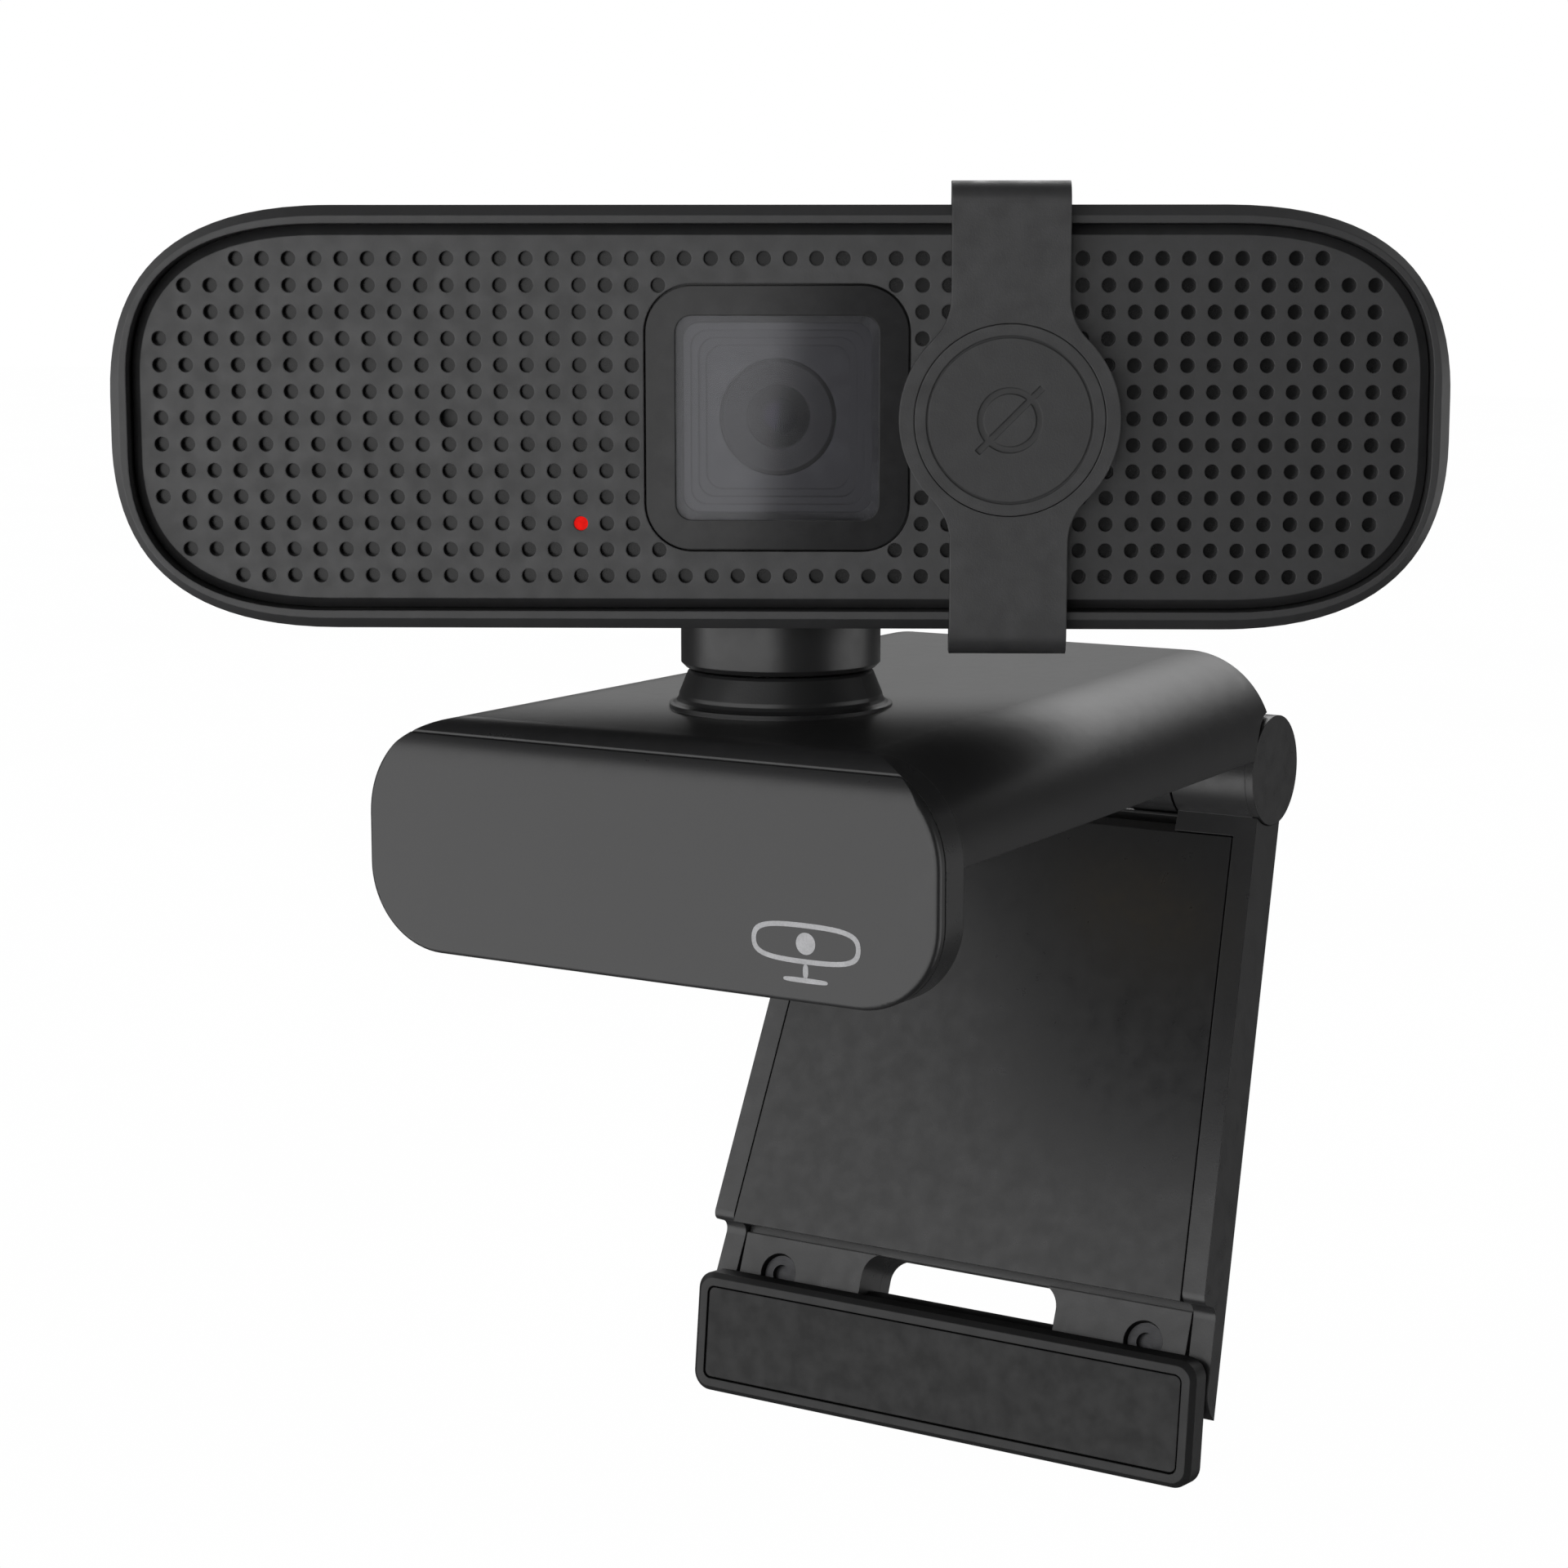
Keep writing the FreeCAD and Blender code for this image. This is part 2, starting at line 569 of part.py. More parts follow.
def cover_face():
    """The cover's front outline: a band with a disc, joined by hollow curves."""
    half = COVER_W / 2
    high = BAR_H / 2 + COVER_OVER + PAST
    curve = 4.2                                    # radius of the hollow curves
    rise = math.sqrt((COVER_DISC_R + curve) ** 2 - (half + curve) ** 2)
    disc = rod_y(COVER_DISC_R, (COVER_FRONT - PAST, COVER_BACK + PAST), 0, BAR_Z)
    depth = (COVER_FRONT - PAST, COVER_BACK + PAST)
    solid = box((-half, half), depth, (BAR_Z - high, BAR_Z + high)).fuse(disc)
    for sx in (-1, 1):
        for sz in (-1, 1):
            x = sx * (half + curve)
            web = box(sorted((0, x)), depth, sorted((BAR_Z, BAR_Z + sz * rise)))
            wedge = Part.Face(Part.makePolygon([
                V(0, depth[0], BAR_Z), V(x, depth[0], BAR_Z + sz * rise),
                V(0, depth[0], BAR_Z + sz * rise), V(0, depth[0], BAR_Z)]))
            web = web.common(wedge.extrude(V(0, depth[1] - depth[0], 0)))
            solid = solid.fuse(web.cut(rod_y(curve, depth, x, BAR_Z + sz * rise)))
    return solid.removeSplitter()


def privacy_cover():
    side = Part.Face(cover_side()).extrude(V(2 * COVER_DISC_R + 4, 0, 0))
    side.translate(V(-COVER_DISC_R - 2, 0, 0))
    solid = side.common(cover_face())
    badge_floor = COVER_FRONT + 0.8
    solid = solid.cut(rod_y(BADGE_R + RUNNING, (COVER_FRONT - PAST, badge_floor), 0, BAR_Z))
    return solid.translate(V(COVER_X, 0, 0))


def cover_badge():
    """A round inlay with a groove near its edge and a plain crossed-lens mark pressed into it."""
    front = COVER_FRONT + 0.03
    solid = rod_y(BADGE_R, (front, COVER_FRONT + 0.8), 0, BAR_Z)
    groove_r, groove = 5.83, 0.16
    mark_r, mark_w, press = 2.3, 0.45, 0.14
    cuts = [ring_y(groove_r + groove / 2, groove_r - groove / 2, front, press)]
    cuts.append(ring_y(mark_r, mark_r - mark_w, front, press))
    bar = box((-mark_w / 2, mark_w / 2), (front - PAST, front + press), (BAR_Z - 3.2, BAR_Z + 3.2))
    cuts.append(bar.rotate(V(0, 0, BAR_Z), V(0, 1, 0), 45))
    for cut in cuts:
        solid = solid.cut(cut)
    return solid.translate(V(COVER_X, 0, 0))


def ring_y(outer, inner, front, depth):
    span = (front - PAST, front + depth)
    return rod_y(outer, span, 0, BAR_Z).cut(rod_y(inner, span, 0, BAR_Z))


# ---- the neck -----------------------------------------------------------------------------------

def swivel_collar():
    edge = 0.35
    profile = [(0, COLLAR_LOW), (COLLAR_R - edge, COLLAR_LOW), (COLLAR_R, COLLAR_LOW + edge)]
    solid = spin(profile + [(COLLAR_R, COLLAR_TOP - edge), (COLLAR_R - edge, COLLAR_TOP), (0, COLLAR_TOP)])
    span = (-KNUCKLE_HALF, KNUCKLE_HALF)
    solid = solid.fuse(box(span, (-KNUCKLE_R, KNUCKLE_R), (COLLAR_TOP - PAST, PIVOT_Z)))
    solid = solid.fuse(rod_x(KNUCKLE_R, span, 0, PIVOT_Z))
    solid = solid.cut(rod_x(TILT_PIN_R + RUNNING, (-9, 9), 0, PIVOT_Z))
    return solid.cut(rod_z(STUD_R, (COLLAR_LOW - PAST, 14.5))).removeSplitter()


def swivel_stud():
    return spin([(0, 2.5), (STUD_R - 0.4, 2.5), (STUD_R, 2.9), (STUD_R, 14.5), (0, 14.5)])


def swivel_washer():
    return rod_z(5.6, (4.2, 4.95)).cut(rod_z(STUD_R, (3, 6)))


def swivel_nut():
    flats = 4.4
    corners = [V(flats * math.cos(math.radians(60 * i)), flats * math.sin(math.radians(60 * i)), 2.9)
               for i in range(7)]
    nut = Part.Face(Part.makePolygon(corners)).extrude(V(0, 0, 1.3))
    return nut.cut(rod_z(STUD_R, (2, 5)))


# ---- the clip's body --------------------------------------------------------------------------

def plate_wire(inset, y):
    low, high = CLIP_TOP - PLATE_H + inset, CLIP_TOP - inset
    return rounded(CLIP_W / 2 - inset, low, high, CLIP_R - inset, y, PLATE_LOW_R - inset)


def body_section(half, top, r, y):
    """The clip's body across its width at depth y: flat below, with round top corners."""
    k = r * (1 - math.sqrt(0.5))
    return Part.Wire([
        Part.makeLine(V(r - half, y, top), V(half - r, y, top)),
        arc(V(half - r, y, top), V(half - k, y, top - k), V(half, y, top - r)),
        Part.makeLine(V(half, y, top - r), V(half, y, CLIP_LOW)),
        Part.makeLine(V(half, y, CLIP_LOW), V(-half, y, CLIP_LOW)),
        Part.makeLine(V(-half, y, CLIP_LOW), V(-half, y, top - r)),
        arc(V(-half, y, top - r), V(k - half, y, top - k), V(r - half, y, top)),
    ])


def body_block():
    """It grows narrower and a little higher towards the back."""
    front = body_section(CLIP_W / 2, CLIP_TOP, CLIP_R, LIP_BACK)
    back = body_section(CLIP_BACK_W / 2, CLIP_BACK_TOP, CLIP_BACK_R, CLIP_BACK)
    return fillet_at(loft([front, back]), 0.5, all_at_y(CLIP_BACK))


def cavity_box(inset, low, high, r):
    """The room under the clip's roof, or what fills its mouth."""
    x = (inset - CAVITY_HALF, CAVITY_HALF - inset)
    solid = box(x, (CAVITY_FRONT + inset, CAVITY_BACK - inset), (low, high))
    return fillet_at(solid, r, lambda e: e.BoundBox.ZLength > high - low - 0.01)


def body_cavity():
    roof = CLIP_TOP - ROOF
    r = 3.0
    solid = cavity_box(0, CLIP_LOW - PAST, roof, r)
    return fillet_at(solid, r - 0.2, lambda e: e.BoundBox.ZMin > roof - 0.01)


def stub():
    """The turned seat that the collar swivels on, flared into the clip's top."""
    top, foot_r, neck_r, top_r = 11.05, 8.4, 7.65, 7.0
    flare_low = 8.5
    steps = 4
    profile = [(0, CLIP_TOP - 1.2), (foot_r, CLIP_TOP - 1.2)]
    flare = foot_r - neck_r
    for i in range(steps + 1):
        a = math.radians(90 * i / steps)
        profile.append((foot_r - flare * math.sin(a), flare_low + flare * (1 - math.cos(a))))
    return spin(profile + [(top_r, top - 0.2), (top_r - 0.2, top), (0, top)])


def clip_body():
    solid = body_block().cut(body_cavity())
    roof = CLIP_TOP - ROOF + 0.3
    post_low = CLIP_LOW + BASE_T
    solid = solid.fuse(rod_z(6.5, (5.25, roof))).fuse(stub())
    solid = solid.fuse(rod_z(6.4, (post_low, roof), 0, INSERT_Y))
    for x, y in BASE_SPOTS:
        solid = solid.fuse(rod_z(2.3, (post_low, roof), x, y))
        solid = solid.cut(rod_z(0.9, (post_low - PAST, post_low + 3.2), x, y))
    for x, z in LIP_SPOTS:
        solid = solid.cut(rod_y(0.9, (LIP_BACK - PAST, CAVITY_FRONT + PAST), x, z))
        solid = solid.cut(rod_y(1.95, (CAVITY_FRONT, CAVITY_FRONT + 3.0), x, z))
    solid = solid.cut(rod_z(STUD_R + RUNNING, (CLIP_LOW, CLIP_TOP + 5)))
    solid = solid.cut(rod_z(INSERT_R, (CLIP_LOW, 6.1), 0, INSERT_Y))
    # room for the hinge, then the clip's own two knuckles
    inner, outer = CLIP_KNUCKLE
    for side in (-1, 1):
        leg_room = sorted((side * (outer + 0.1), side * CLIP_W))
        solid = solid.cut(rod_x(HINGE_R + 0.35, leg_room, HINGE_Y, HINGE_Z))
        knuckle = sorted((side * inner, side * outer))
        solid = solid.fuse(rod_x(HINGE_R, knuckle, HINGE_Y, HINGE_Z))
    solid = solid.cut(rod_x(HINGE_R - 0.1, (-inner, inner), HINGE_Y, HINGE_Z))
    return solid.cut(rod_x(PIN_R, (-CLIP_W, CLIP_W), HINGE_Y, HINGE_Z)).removeSplitter()


def front_rounding():
    """What is taken off the plate and the lip along their top front edge."""
    y, z, width = CLIP_FRONT + FRONT_R, CLIP_TOP - FRONT_R, (-CLIP_W, CLIP_W)
    return box(width, (CLIP_FRONT - PAST, y), (z, CLIP_TOP + PAST)).cut(rod_x(FRONT_R, width, y, z))


def lip_plate():
    """The lip that hangs in front of the screen, with recesses for the front plate and the pad."""
    solid = prism(plate_wire(0, LIP_FRONT), LIP_BACK - LIP_FRONT)
    solid = solid.cut(prism(plate_wire(1.4, LIP_FRONT - PAST), PAST + 1.1))
    for x, z in LIP_SPOTS:
        solid = solid.cut(rod_y(0.9, (LIP_BACK - 1.2, LIP_BACK + PAST), x, z))
    return solid.cut(lip_pad_block(0)).cut(front_rounding())


def lip_screws():
    """They hold the lip from inside the body."""
    screws = []
    for x, z in LIP_SPOTS:
        head = rod_y(1.8, (CAVITY_FRONT, CAVITY_FRONT + 0.9), x, z)
        screws.append(head.fuse(rod_y(0.9, (LIP_BACK - 1.1, CAVITY_FRONT), x, z)))
    return group(screws)


def lip_pad_block(clear):
    low, high = -7.9, -0.9
    return prism(rounded(18.0 - clear, low + clear, high - clear, 1.5, LIP_BACK - 0.3), 0.8)


def clip_front_plate():
    solid = fillet_at(prism(plate_wire(0, CLIP_FRONT), PLATE_T), 0.4, all_at_y(CLIP_FRONT))
    tongue = prism(plate_wire(1.5, CLIP_FRONT + PLATE_T), 1.15)
    return solid.cut(front_rounding()).fuse(tongue).removeSplitter()


def lip_pad():
    return lip_pad_block(0.05)


def seat_outline(clear, low, high):
    x, y = (clear - 18.0, 18.0 - clear), (clear - 11.5, 6.5 - clear)
    return fillet_at(box(x, y, (low, high)), 1.5, lambda e: e.BoundBox.ZLength > high - low - 0.01)


def clip_base():
    """The plate that closes the body's underside."""
    top = CLIP_LOW + BASE_T
    solid = cavity_box(0.1, CLIP_LOW, top, 2.9)
    solid = solid.cut(seat_outline(0, CLIP_LOW - PAST, CLIP_LOW + 0.4))
    solid = solid.cut(rod_z(INSERT_R + 0.1, (0, 3), 0, INSERT_Y))
    solid = solid.cut(rod_z(INSERT_R + 1.1, (0, CLIP_LOW + 0.8), 0, INSERT_Y))
    for x, y in BASE_SPOTS:
        solid = solid.cut(rod_z(1.1, (0, 3), x, y))
        solid = solid.cut(rod_z(2.0, (0, CLIP_LOW + 0.9), x, y))
    return solid


def seat_pad():
    return seat_outline(0.05, 0, CLIP_LOW + 0.4)


def base_screws():
    head_low = CLIP_LOW + 0.45
    screws = []
    for x, y in BASE_SPOTS:
        head = rod_z(1.9, (head_low, CLIP_LOW + 0.9), x, y)
        screws.append(head.fuse(rod_z(0.9, (CLIP_LOW + 0.9, CLIP_LOW + 4.5), x, y)))
    return group(screws)


def thread_insert():
    """The brass bush for a tripod screw; its hole is plain, at the thread's nominal size."""
    solid = rod_z(INSERT_R, (CLIP_LOW, 6.0), 0, INSERT_Y)
    solid = solid.fuse(rod_z(INSERT_R + 1.0, (CLIP_LOW, CLIP_LOW + 0.8), 0, INSERT_Y))
    return solid.cut(rod_z(THREAD_R, (0, 7), 0, INSERT_Y))


# ---- the hinge --------------------------------------------------------------------------------

def hinge_pin():
    end = LEG_KNUCKLE[1] - 1.6
    return rod_x(PIN_R, (-end, end), HINGE_Y, HINGE_Z)


def friction_washers():
    """Spring-steel washers packed between the clip's knuckles; they hold the leg where it is put."""
    inner = CLIP_KNUCKLE[0]
    count = 9
    pitch = 2 * inner / count
    washers = []
    for i in range(count):
        x = -inner + (i + 0.5) * pitch
        ring = rod_x(HINGE_R - 0.3, (x - 0.7, x + 0.7), HINGE_Y, HINGE_Z)
        washers.append(ring.cut(rod_x(PIN_R + RUNNING, (x - 1, x + 1), HINGE_Y, HINGE_Z)))
    return group(washers)


def hinge_cap(side):
    """The disc that closes one end of the barrel, in the leg's axes."""
    outer = LEG_KNUCKLE[1]
    disc = sorted((side * outer, side * (outer + CAP_T)))
    plug = sorted((side * (outer - 1.2), side * outer))
    return rod_x(HINGE_R, disc).fuse(rod_x(2.6, plug)).removeSplitter()


# ---- the leg, in its own axes -----------------------------------------------------------------

def leg_half(z):
    return LEG_TOP_HALF - LEG_FLARE * z


def tapered(inset, high, low, y):
    """The leg's tapered width between two heights, as a solid of some depth."""
    points = [V(s * (leg_half(z) - inset), y[0], z) for s, z in ((-1, high), (1, high), (1, low), (-1, low))]
    return Part.Face(Part.makePolygon(points + points[:1])).extrude(V(0, y[1] - y[0], 0))


def leg_side():
    """A rail's outline from the side, with the step back above the foot and a round lower end."""
    corner, cove = 0.8, 1.0
    k_corner, k_cove = corner * (1 - math.sqrt(0.5)), cove * (1 - math.sqrt(0.5))
    dip = FOOT_PIVOT_Y - LEG_BACK
    end = FOOT_PIVOT_Z - math.sqrt(FOOT_KNUCKLE_R ** 2 - dip ** 2)
    half = math.atan2(FOOT_PIVOT_Z - end, dip) / 2

    def at(y, z):
        return V(0, y, z)

    mid = at(FOOT_PIVOT_Y - FOOT_KNUCKLE_R * math.cos(half), FOOT_PIVOT_Z - FOOT_KNUCKLE_R * math.sin(half))
    low = PANEL_LOW
    points = [at(LEG_BACK, 0), at(LEG_FRONT, 0), at(LEG_FRONT, low + corner), at(LEG_FRONT + corner, low),
              at(STEP_Y - cove, low), at(STEP_Y, low - cove), at(STEP_Y, FOOT_PIVOT_Z), at(LEG_BACK, end)]
    edges = [Part.makeLine(points[0], points[1]), Part.makeLine(points[1], points[2])]
    edges.append(arc(points[2], at(LEG_FRONT + k_corner, low + k_corner), points[3]))
    edges.append(Part.makeLine(points[3], points[4]))
    edges.append(arc(points[4], at(STEP_Y - k_cove, low - k_cove), points[5]))
    edges.append(Part.makeLine(points[5], points[6]))
    edges.append(arc(points[6], mid, points[7]))
    edges.append(Part.makeLine(points[7], points[0]))
    return Part.Wire(edges)


def lower_block():
    """The thick lower end of the leg: it stands behind the foot and holds the foot's pivot."""
    back = FOOT_PIVOT_Y + FOOT_KNUCKLE_R
    solid = box((-BLOCK_HALF, BLOCK_HALF), (STEP_Y, back), (FOOT_PIVOT_Z, BLOCK_TOP))
    solid = solid.fuse(rod_x(FOOT_KNUCKLE_R, (-BLOCK_HALF, BLOCK_HALF), FOOT_PIVOT_Y, FOOT_PIVOT_Z))
    slot = rounded(SLOT_HALF, FOOT_PIVOT_Z - 5, BLOCK_TOP + 0.15, SLOT_R, STEP_Y - PAST)
    return solid.removeSplitter().cut(prism(slot, back - STEP_Y + 2 * PAST))


def leg_frame():
    side = Part.Face(leg_side()).extrude(V(2 * CLIP_W, 0, 0)).translate(V(-CLIP_W, 0, 0))
    depth = (LEG_FRONT - PAST, LEG_BACK + PAST)
    solid = side.common(tapered(0, 0, FOOT_PIVOT_Z - 5, depth))
    pocket = (LEG_FRONT - PAST, LEG_BACK - LEG_WALL)
    solid = solid.cut(tapered(RAIL_W, PANEL_TOP, PANEL_LOW, pocket))
    solid = solid.cut(tapered(RAIL_W, PANEL_LOW, FOOT_PIVOT_Z - 5, depth))
    # the top edge drops away from the clip's knuckles, the leg's own knuckles stay
    inner, outer = LEG_KNUCKLE
    solid = solid.cut(rod_x(HINGE_R + 0.3, (-inner, inner))).cut(box((-inner, inner), depth, (-3.5, PAST)))
    solid = solid.cut(box((-inner, inner), (depth[0], pocket[1]), (PANEL_TOP, -5.0)))
    for s in (-1, 1):
        solid = solid.fuse(rod_x(HINGE_R, sorted((s * inner, s * outer))))
    # the bulge behind the bracket, with a sloped shoulder above it
    back = FOOT_PIVOT_Y + FOOT_KNUCKLE_R
    shoulder = [V(-BLOCK_HALF, LEG_BACK - LEG_WALL, -41.0), V(-BLOCK_HALF, LEG_BACK, -41.0),
                V(-BLOCK_HALF, back, BLOCK_TOP), V(-BLOCK_HALF, LEG_BACK - LEG_WALL, BLOCK_TOP)]
    wedge = Part.Face(Part.makePolygon(shoulder + shoulder[:1])).extrude(V(2 * BLOCK_HALF, 0, 0))
    rear = lower_block().common(box((-CLIP_W, CLIP_W), (BLOCK_SPLIT, 9), (-60, -40)))
    solid = solid.fuse(wedge).fuse(rear)
    for s in (-1, 1):
        solid = solid.cut(rod_x(2.6, sorted((s * (outer - 1.2), s * (outer + PAST)))))
        solid = solid.cut(rod_x(HINGE_R + RUNNING, sorted((s * outer, s * CLIP_W))))
        solid = solid.cut(rod_y(0.8, (0, 6.0), s * LEG_SCREW_X, LEG_SCREW_Z))
    return solid.cut(rod_x(PIN_R + RUNNING, (-CLIP_W, CLIP_W))).removeSplitter()


def leg_panel():
    """The inset front panel, standing on two ribs."""
    inset = RAIL_W + SEAM
    solid = tapered(inset, PANEL_TOP - SEAM, PANEL_LOW, (LEG_FRONT, LEG_FRONT + 1.2))
    for z in (-14.0, -32.0):
        rib = (LEG_FRONT + 1.0, LEG_BACK - LEG_WALL)
        solid = solid.fuse(tapered(inset + 3.0, z, z - 1.6, rib))
    return solid.removeSplitter()


def leg_bracket():
    """Fills the lower block's front, between the rails; the foot's pin is pressed into it."""
    solid = lower_block().common(box((-CLIP_W, CLIP_W), (0, BLOCK_SPLIT), (-60, -40)))
    inside = tapered(RAIL_W + 0.05, BLOCK_TOP, FOOT_PIVOT_Z - 5, (0, 9))
    solid = solid.common(inside)
    solid = solid.cut(rod_x(FOOT_PIN_R, (-14.5, 14.5), FOOT_PIVOT_Y, FOOT_PIVOT_Z))
    for s in (-1, 1):
        solid = solid.cut(rod_y(0.95, (0, 9), s * LEG_SCREW_X, LEG_SCREW_Z))
        solid = solid.cut(rod_y(1.75, (0, STEP_Y + 1.3), s * LEG_SCREW_X, LEG_SCREW_Z))
    return group(solid.Solids)


def leg_screws():
    screws = []
    for s in (-1, 1):
        head = rod_y(1.6, (STEP_Y + 0.5, STEP_Y + 1.3), s * LEG_SCREW_X, LEG_SCREW_Z)
        head = head.cut(rod_y(0.8, (STEP_Y, STEP_Y + 1.0), s * LEG_SCREW_X, LEG_SCREW_Z))
        screws.append(head.fuse(rod_y(0.8, (STEP_Y + 1.3, 6.0), s * LEG_SCREW_X, LEG_SCREW_Z)))
    return group(screws)


def foot_pin():
    return rod_x(FOOT_PIN_R, (-14.3, 14.3), FOOT_PIVOT_Y, FOOT_PIVOT_Z)


# ---- the foot, in its own axes ----------------------------------------------------------------

def foot_wire(inset, y):
    return rounded(FOOT_HALF - inset, FOOT_LOW + inset, FOOT_TOP - inset, FOOT_R - inset * 0.8, y)


def foot_plate():
    edge = 0.45
    wires = [foot_wire(edge, FOOT_FRONT), foot_wire(0, FOOT_FRONT + edge)]
    solid = loft(wires + [foot_wire(0, FOOT_BACK)])
    solid = solid.cut(prism(foot_wire(FOOT_RIM, FOOT_FRONT - PAST), PAST + 1.1))
    half = SLOT_HALF - 0.3
    solid = solid.fuse(box((-half, half), (FOOT_BACK - 0.5, 0), (-1.9, 1.9)))
    solid = solid.fuse(rod_x(FOOT_KNUCKLE_R, (-half, half)))
    return solid.cut(rod_x(FOOT_PIN_R + RUNNING, (-12, 12))).removeSplitter()


def foot_rubber():
    return prism(foot_wire(FOOT_RIM + 0.15, FOOT_FRONT + 0.1), 1.0)


# ---- write one file per sub-part ----------------------------------------------------------------

BAR_PARTS = [
    front_bezel, grille_panel, grille_backing, lens_bezel, lens_window, lens_baffle, lens_barrel,
    lens_retainer, front_element, lens_holder, image_sensor, main_board, board_chips, microphones,
    microphone_boots, light_pipe, status_led, rear_shell, shell_screws, cable_gland, tilt_bracket,
    bracket_screws, board_screws, tilt_pin, tilt_washers, privacy_cover, cover_badge,
    swivel_collar,
]
CLIP_PARTS = [
    swivel_stud, swivel_washer, swivel_nut, clip_body, clip_front_plate, lip_plate, lip_screws, lip_pad,
    clip_base, seat_pad, base_screws, thread_insert, hinge_pin, friction_washers,
]
LEG_PARTS = [leg_frame, leg_panel, leg_bracket, leg_screws, foot_pin]
FOOT_PARTS = [foot_plate, foot_rubber]

os.makedirs("parts", exist_ok=True)
for make in BAR_PARTS:
    save(make.__name__, in_bar(make()))
for make in CLIP_PARTS:
    save(make.__name__, make())
for make in LEG_PARTS:
    save(make.__name__, in_leg(make()))
for make in FOOT_PARTS:
    save(make.__name__, in_foot(make()))
for word, side in (("left", -1), ("right", 1)):
    save(f"hinge_cap_{word}", in_leg(hinge_cap(side)))
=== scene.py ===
import json
import math

import bpy
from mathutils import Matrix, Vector


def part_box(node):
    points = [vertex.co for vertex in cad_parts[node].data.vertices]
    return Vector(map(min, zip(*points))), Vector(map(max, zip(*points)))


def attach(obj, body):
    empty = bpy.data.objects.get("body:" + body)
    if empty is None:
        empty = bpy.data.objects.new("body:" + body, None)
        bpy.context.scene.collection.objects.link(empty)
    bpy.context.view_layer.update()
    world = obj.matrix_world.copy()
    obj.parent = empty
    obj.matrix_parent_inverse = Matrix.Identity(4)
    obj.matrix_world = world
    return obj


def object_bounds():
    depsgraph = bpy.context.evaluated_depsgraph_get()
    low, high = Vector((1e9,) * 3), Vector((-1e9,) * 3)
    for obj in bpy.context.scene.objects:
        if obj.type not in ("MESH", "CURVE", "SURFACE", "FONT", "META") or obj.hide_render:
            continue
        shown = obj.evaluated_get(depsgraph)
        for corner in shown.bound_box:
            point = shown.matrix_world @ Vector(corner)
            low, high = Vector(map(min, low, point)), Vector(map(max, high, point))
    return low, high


# The looks of the webcam: finishes for every material slot, a printed mark on the clip's front
# plate, a white studio and the camera. Lengths are in metres, in the part's own frame.

MM = 0.001

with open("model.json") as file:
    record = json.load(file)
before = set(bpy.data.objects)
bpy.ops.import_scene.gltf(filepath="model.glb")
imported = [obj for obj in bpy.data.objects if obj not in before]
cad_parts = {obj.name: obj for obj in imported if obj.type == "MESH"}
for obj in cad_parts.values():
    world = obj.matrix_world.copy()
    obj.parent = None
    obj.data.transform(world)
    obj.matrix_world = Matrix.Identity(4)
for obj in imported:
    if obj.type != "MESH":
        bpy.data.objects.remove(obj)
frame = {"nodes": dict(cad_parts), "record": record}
cad_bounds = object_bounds()

# ---- camera -------------------------------------------------------------------------------------
AIM = Vector((0.84, -0.90, 2.37)) * MM
DISTANCE = 246.23 * MM
AZIMUTH = math.radians(31.67)
ELEVATION = math.radians(8.97)
LENS = 75.0
SENSOR = 36.0

# ---- light --------------------------------------------------------------------------------------
SOFTBOX = 1.85                     # brightness of the big softbox at the front left
SOFTBOX_EDGE = math.radians(27.8)  # its right-hand edge, measured like the camera's azimuth
SOFTBOX_LEAN = 0.16                # the edge leans to the right as it rises
SOFTBOX_FADE = 0.005
BACK_LIGHT = 2.9                   # a broad light high behind the object
STRIP_LIGHT = 1.5                  # a soft light to the right
SKY_LIGHT = 0.10                   # overhead
AMBIENT = 0.06                     # everywhere else
# Where each light comes up from nothing to full: "turn" is the cosine of the angle to the camera's
# side or to the right, "height" is the sine of the angle above the horizon.
SOFTBOX_TURN = (-0.35, 0.0)
SOFTBOX_TOP = (0.6, 0.35)
SOFTBOX_FOOT = (-0.85, -0.5)
BACK_TURN = (-0.35, -0.75)
BACK_HEIGHT = (0.24, 0.55)
STRIP_TURN = (0.83, 1.0)
SKY_HEIGHT = (0.45, 0.95)

# ---- finishes: tone is the surface's own grey, grain and relief are in millimetres --------------
PLASTICS = {
    "charcoal_plastic": {"tone": 0.032, "rough": 0.40, "grain": 0.13, "relief": 0.006},
    "dark_plastic": {"tone": 0.014, "rough": 0.40, "grain": 0.10, "relief": 0.004},
    "neck_plastic": {"tone": 0.018, "rough": 0.36, "grain": 0.15, "relief": 0.004},
    "cover_plastic": {"tone": 0.030, "rough": 0.52, "grain": 0.12, "relief": 0.010},
    "clip_plastic": {"tone": 0.018, "rough": 0.35, "grain": 0.14, "relief": 0.006},
    "leg_plastic": {"tone": 0.012, "rough": 0.38, "grain": 0.14, "relief": 0.004, "ior": 1.46},
    "chip_black": {"tone": 0.010, "rough": 0.35, "grain": 0.08, "relief": 0.004},
    "rubber": {"tone": 0.008, "rough": 0.60, "grain": 0.20, "relief": 0.004, "ior": 1.35},
}
